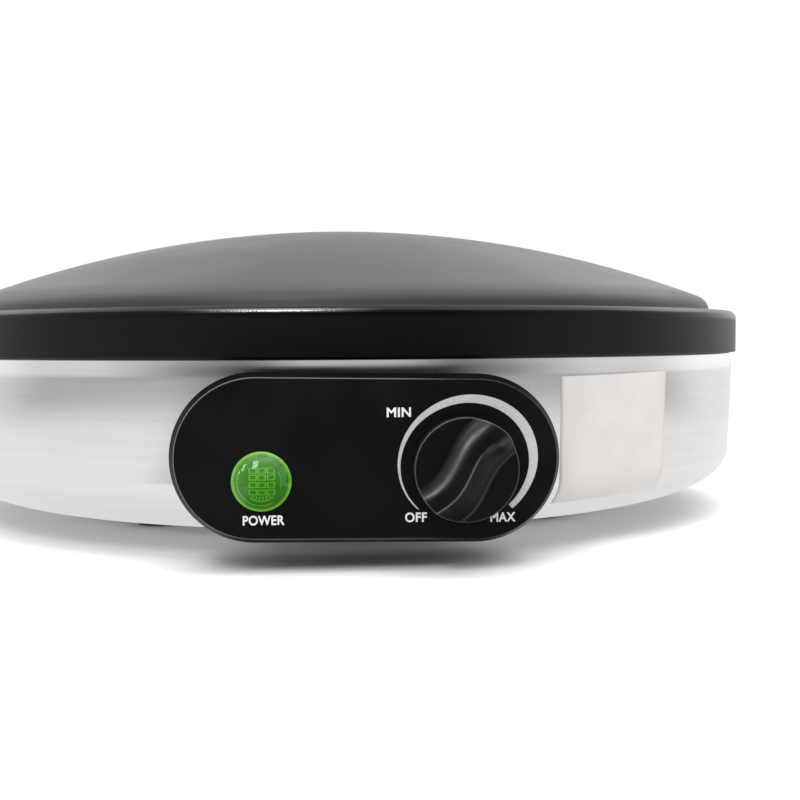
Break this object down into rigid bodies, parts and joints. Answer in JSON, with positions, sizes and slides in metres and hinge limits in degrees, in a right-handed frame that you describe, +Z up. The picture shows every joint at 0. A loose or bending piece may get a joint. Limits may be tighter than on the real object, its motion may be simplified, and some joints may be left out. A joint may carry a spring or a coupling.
{
  "type": "electric flatbread maker",
  "caption": "Round electric flatbread griddle with a fixed domed non-stick plate, a steel housing, and a front panel with a thermostat knob and a pilot light.",
  "frame": {"origin": "middle of the footprint, on the table under the feet", "axes": "+Z up, -Y towards the user and the control panel, +X to the user's right"},
  "size_m": [0.41, 0.444, 0.1405],
  "materials": {
    "nonstick_coating": "cast aluminium with a dark matte non-stick coating",
    "stainless_steel": "satin stainless sheet",
    "galvanised_sheet": "galvanised sheet",
    "zinc_steel": "zinc plated",
    "spring_steel": "bare spring steel",
    "element_sheath": "heat-darkened alloy sheath",
    "panel_plastic": "satin black moulding",
    "knob_plastic": "satin black moulding",
    "gland_nylon": "black nylon",
    "green_lens": "translucent green",
    "foot_rubber": "black rubber",
    "steatite": "unglazed steatite",
    "phenolic": "cream phenolic moulding",
    "lamp_plastic": "white nylon",
    "lamp_glass": "clear glass",
    "brass_parts": "bare brass",
    "copper_parts": "bare copper",
    "wire_brown": "silicone sleeve",
    "wire_blue": "silicone sleeve",
    "wire_green": "silicone sleeve",
    "wire_black": "silicone sleeve",
    "wire_grey": "silicone sleeve"
  },
  "bodies": {
    "base": {"baking_plate": "nonstick_coating", "outer_body": "stainless_steel", "base_plate": "galvanised_sheet", "heat_shield": "galvanised_sheet", "thermostat_bracket": "galvanised_sheet", "lamp_bracket": "galvanised_sheet", "tie_spacer_1": "zinc_steel", "tie_spacer_2": "zinc_steel", "tie_spacer_3": "zinc_steel", "tie_spacer_4": "zinc_steel", "tie_bolts": "zinc_steel", "base_screws": "zinc_steel", "foot_screws": "zinc_steel", "foot_nuts": "zinc_steel", "panel_screws": "zinc_steel", "thermostat_screws": "zinc_steel", "clamp_screws": "zinc_steel", "element_clamps": "spring_steel", "bulb_clip": "spring_steel", "fuse_clip": "spring_steel", "lamp_nut": "spring_steel", "heating_element": "element_sheath", "control_panel": "panel_plastic", "cord_gland": "gland_nylon", "gland_nut": "gland_nylon", "indicator_lens": "green_lens", "foot_1": "foot_rubber", "foot_2": "foot_rubber", "foot_3": "foot_rubber", "foot_4": "foot_rubber", "terminal_bushes": "steatite", "terminal_block": "steatite", "thermal_fuse": "steatite", "thermostat_body": "phenolic", "lamp_housing": "lamp_plastic", "neon_lamp": "lamp_glass", "thermostat_tabs": "brass_parts", "terminal_screws": "brass_parts", "earth_tag": "brass_parts", "earth_screw": "brass_parts", "sensor_bulb": "copper_parts", "capillary_tube": "copper_parts", "wire_live": "wire_brown", "wire_neutral": "wire_blue", "wire_lamp_neutral": "wire_blue", "wire_earth": "wire_green", "wire_switched": "wire_black", "wire_fused": "wire_black", "wire_lamp_live": "wire_grey"},
    "knob": {"control_knob": "knob_plastic", "knob_clip": "spring_steel", "thermostat_shaft": "brass_parts"}
  },
  "joints": [
    {"name": "thermostat_turn", "type": "hinge", "parent": "base", "child": "knob", "pos_m": [0.0349, -0.20323, 0.03765], "axis": [0, 1, 0], "range_deg": [0, 265]}
  ]
}
